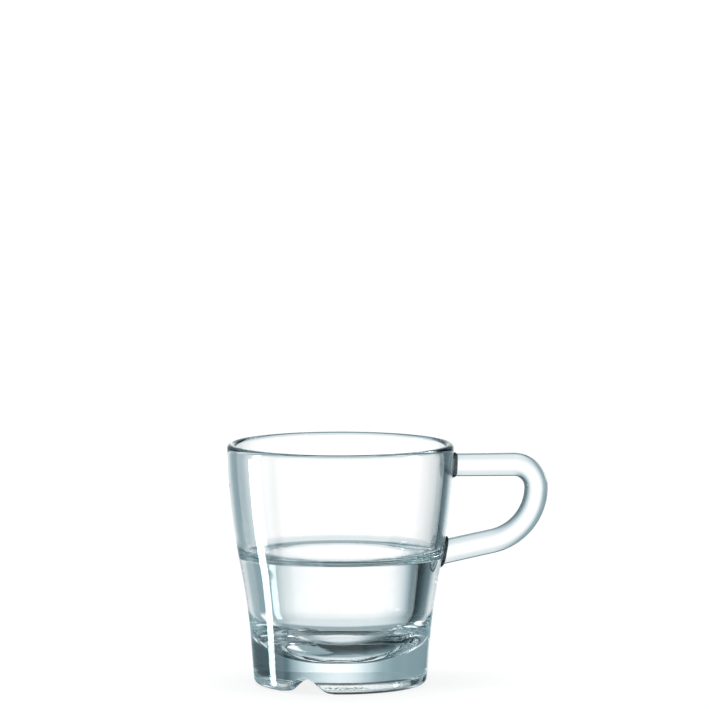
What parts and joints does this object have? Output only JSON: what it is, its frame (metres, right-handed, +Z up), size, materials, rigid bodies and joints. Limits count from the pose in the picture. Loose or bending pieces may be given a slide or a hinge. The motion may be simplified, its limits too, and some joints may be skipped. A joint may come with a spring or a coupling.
{
  "type": "espresso cup",
  "caption": "Clear glass espresso cup with a stepped inside ledge for stacking, a thick base on a notched foot ring, and a bent glass rod handle fused on at its ends.",
  "frame": {"origin": "middle of the whole width, handle included, on the plane that the foot ring stands on; the bowl's upright axis is 13.5 mm from it towards -X", "axes": "+X from the bowl towards the handle, +Z up, -Y towards the viewer of the picture"},
  "size_m": [0.091, 0.064, 0.068],
  "materials": {
    "bowl_glass": "fire-polished clear pressed glass",
    "weld_glass": "clear remelted glass",
    "handle_glass": "fire-polished clear glass rod"
  },
  "bodies": {
    "root": {"bowl": "bowl_glass", "upper_weld": "weld_glass", "lower_weld": "weld_glass", "handle": "handle_glass"}
  },
  "joints": []
}
